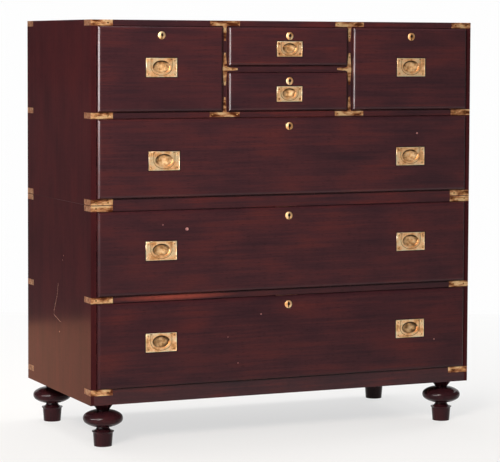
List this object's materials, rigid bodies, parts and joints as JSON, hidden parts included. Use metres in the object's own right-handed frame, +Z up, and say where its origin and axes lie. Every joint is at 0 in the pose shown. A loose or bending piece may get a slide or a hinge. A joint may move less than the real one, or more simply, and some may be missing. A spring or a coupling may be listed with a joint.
{
  "type": "campaign chest",
  "caption": "Two-part mahogany campaign chest with proud, lock-fitted drawers, flush swinging brass handles, brass corner straps and turned bun feet.",
  "frame": {"origin": "on the floor under the middle of the chest's bounding box", "axes": "+X to the right along the front, +Y from the front to the back, +Z up"},
  "size_m": [1.016, 0.482, 1.014],
  "materials": {
    "mahogany": "dark french polish",
    "cedar": "bare planed wood",
    "brass": "aged and polished"
  },
  "bodies": {
    "lower_case": {"lower_side_left": "mahogany", "lower_side_right": "mahogany", "lower_top": "mahogany", "lower_bottom": "mahogany", "bottom_rail": "mahogany", "lower_back_boards": "cedar", "lower_shelf": "mahogany", "lower_straps": "brass", "feet": "mahogany", "foot_blocks": "cedar", "locating_pegs": "cedar", "lower_drawer_stops": "cedar"},
    "upper_case": {"upper_side_left": "mahogany", "upper_side_right": "mahogany", "upper_top": "mahogany", "upper_bottom": "mahogany", "upper_back_boards": "cedar", "upper_shelf": "mahogany", "partitions": "mahogany", "small_shelf": "mahogany", "upper_straps": "brass", "upper_drawer_stops": "cedar"},
    "left_drawer": {"left_drawer_front": "mahogany", "left_drawer_box": "cedar", "left_drawer_brasses": "brass"},
    "left_drawer_lock_bolt": {"left_drawer_lock_bolt": "brass"},
    "left_drawer_handle": {"left_drawer_handle": "brass"},
    "upper_small_drawer": {"upper_small_drawer_front": "mahogany", "upper_small_drawer_box": "cedar", "upper_small_drawer_brasses": "brass"},
    "upper_small_drawer_lock_bolt": {"upper_small_drawer_lock_bolt": "brass"},
    "upper_small_drawer_handle": {"upper_small_drawer_handle": "brass"},
    "lower_small_drawer": {"lower_small_drawer_front": "mahogany", "lower_small_drawer_box": "cedar", "lower_small_drawer_brasses": "brass"},
    "lower_small_drawer_lock_bolt": {"lower_small_drawer_lock_bolt": "brass"},
    "lower_small_drawer_handle": {"lower_small_drawer_handle": "brass"},
    "right_drawer": {"right_drawer_front": "mahogany", "right_drawer_box": "cedar", "right_drawer_brasses": "brass"},
    "right_drawer_lock_bolt": {"right_drawer_lock_bolt": "brass"},
    "right_drawer_handle": {"right_drawer_handle": "brass"},
    "upper_long_drawer": {"upper_long_drawer_front": "mahogany", "upper_long_drawer_box": "cedar", "upper_long_drawer_brasses": "brass"},
    "upper_long_drawer_lock_bolt": {"upper_long_drawer_lock_bolt": "brass"},
    "upper_long_drawer_handle_left": {"upper_long_drawer_handle_left": "brass"},
    "upper_long_drawer_handle_right": {"upper_long_drawer_handle_right": "brass"},
    "middle_long_drawer": {"middle_long_drawer_front": "mahogany", "middle_long_drawer_box": "cedar", "middle_long_drawer_brasses": "brass"},
    "middle_long_drawer_lock_bolt": {"middle_long_drawer_lock_bolt": "brass"},
    "middle_long_drawer_handle_left": {"middle_long_drawer_handle_left": "brass"},
    "middle_long_drawer_handle_right": {"middle_long_drawer_handle_right": "brass"},
    "bottom_long_drawer": {"bottom_long_drawer_front": "mahogany", "bottom_long_drawer_box": "cedar", "bottom_long_drawer_brasses": "brass"},
    "bottom_long_drawer_lock_bolt": {"bottom_long_drawer_lock_bolt": "brass"},
    "bottom_long_drawer_handle_left": {"bottom_long_drawer_handle_left": "brass"},
    "bottom_long_drawer_handle_right": {"bottom_long_drawer_handle_right": "brass"}
  },
  "joints": [
    {"name": "upper_lift", "type": "slide", "parent": "lower_case", "child": "upper_case", "axis": [0, 0, 1], "range_m": [0, 0.05]},
    {"name": "left_drawer_slide", "type": "slide", "parent": "upper_case", "child": "left_drawer", "axis": [0, -1, 0], "range_m": [0, 0.34]},
    {"name": "left_drawer_lock_bolt_slide", "type": "slide", "parent": "left_drawer", "child": "left_drawer_lock_bolt", "axis": [0, 0, 1], "range_m": [0, 0.007]},
    {"name": "left_drawer_handle_swing", "type": "hinge", "parent": "left_drawer", "child": "left_drawer_handle", "pos_m": [-0.33367, -0.23711, 0.9185], "axis": [-1, 0, 0], "range_deg": [0, 90]},
    {"name": "upper_small_drawer_slide", "type": "slide", "parent": "upper_case", "child": "upper_small_drawer", "axis": [0, -1, 0], "range_m": [0, 0.34]},
    {"name": "upper_small_drawer_lock_bolt_slide", "type": "slide", "parent": "upper_small_drawer", "child": "upper_small_drawer_lock_bolt", "axis": [0, 0, 1], "range_m": [0, 0.007]},
    {"name": "upper_small_drawer_handle_swing", "type": "hinge", "parent": "upper_small_drawer", "child": "upper_small_drawer_handle", "pos_m": [0, -0.23711, 0.9603], "axis": [-1, 0, 0], "range_deg": [0, 90]},
    {"name": "lower_small_drawer_slide", "type": "slide", "parent": "upper_case", "child": "lower_small_drawer", "axis": [0, -1, 0], "range_m": [0, 0.34]},
    {"name": "lower_small_drawer_lock_bolt_slide", "type": "slide", "parent": "lower_small_drawer", "child": "lower_small_drawer_lock_bolt", "axis": [0, 0, 1], "range_m": [0, 0.007]},
    {"name": "lower_small_drawer_handle_swing", "type": "hinge", "parent": "lower_small_drawer", "child": "lower_small_drawer_handle", "pos_m": [0, -0.23711, 0.8513], "axis": [-1, 0, 0], "range_deg": [0, 90]},
    {"name": "right_drawer_slide", "type": "slide", "parent": "upper_case", "child": "right_drawer", "axis": [0, -1, 0], "range_m": [0, 0.34]},
    {"name": "right_drawer_lock_bolt_slide", "type": "slide", "parent": "right_drawer", "child": "right_drawer_lock_bolt", "axis": [0, 0, 1], "range_m": [0, 0.007]},
    {"name": "right_drawer_handle_swing", "type": "hinge", "parent": "right_drawer", "child": "right_drawer_handle", "pos_m": [0.33367, -0.23711, 0.9185], "axis": [-1, 0, 0], "range_deg": [0, 90]},
    {"name": "upper_long_drawer_slide", "type": "slide", "parent": "upper_case", "child": "upper_long_drawer", "axis": [0, -1, 0], "range_m": [0, 0.34]},
    {"name": "upper_long_drawer_lock_bolt_slide", "type": "slide", "parent": "upper_long_drawer", "child": "upper_long_drawer_lock_bolt", "axis": [0, 0, 1], "range_m": [0, 0.007]},
    {"name": "upper_long_drawer_handle_left_swing", "type": "hinge", "parent": "upper_long_drawer", "child": "upper_long_drawer_handle_left", "pos_m": [-0.32667, -0.23711, 0.6975], "axis": [-1, 0, 0], "range_deg": [0, 90]},
    {"name": "upper_long_drawer_handle_right_swing", "type": "hinge", "parent": "upper_long_drawer", "child": "upper_long_drawer_handle_right", "pos_m": [0.33367, -0.23711, 0.6975], "axis": [-1, 0, 0], "range_deg": [0, 90]},
    {"name": "middle_long_drawer_slide", "type": "slide", "parent": "lower_case", "child": "middle_long_drawer", "axis": [0, -1, 0], "range_m": [0, 0.34]},
    {"name": "middle_long_drawer_lock_bolt_slide", "type": "slide", "parent": "middle_long_drawer", "child": "middle_long_drawer_lock_bolt", "axis": [0, 0, 1], "range_m": [0, 0.007]},
    {"name": "middle_long_drawer_handle_left_swing", "type": "hinge", "parent": "middle_long_drawer", "child": "middle_long_drawer_handle_left", "pos_m": [-0.33367, -0.23711, 0.484], "axis": [-1, 0, 0], "range_deg": [0, 90]},
    {"name": "middle_long_drawer_handle_right_swing", "type": "hinge", "parent": "middle_long_drawer", "child": "middle_long_drawer_handle_right", "pos_m": [0.33667, -0.23711, 0.484], "axis": [-1, 0, 0], "range_deg": [0, 90]},
    {"name": "bottom_long_drawer_slide", "type": "slide", "parent": "lower_case", "child": "bottom_long_drawer", "axis": [0, -1, 0], "range_m": [0, 0.34]},
    {"name": "bottom_long_drawer_lock_bolt_slide", "type": "slide", "parent": "bottom_long_drawer", "child": "bottom_long_drawer_lock_bolt", "axis": [0, 0, 1], "range_m": [0, 0.007]},
    {"name": "bottom_long_drawer_handle_left_swing", "type": "hinge", "parent": "bottom_long_drawer", "child": "bottom_long_drawer_handle_left", "pos_m": [-0.33367, -0.23711, 0.265], "axis": [-1, 0, 0], "range_deg": [0, 90]},
    {"name": "bottom_long_drawer_handle_right_swing", "type": "hinge", "parent": "bottom_long_drawer", "child": "bottom_long_drawer_handle_right", "pos_m": [0.33667, -0.23711, 0.265], "axis": [-1, 0, 0], "range_deg": [0, 90]}
  ]
}
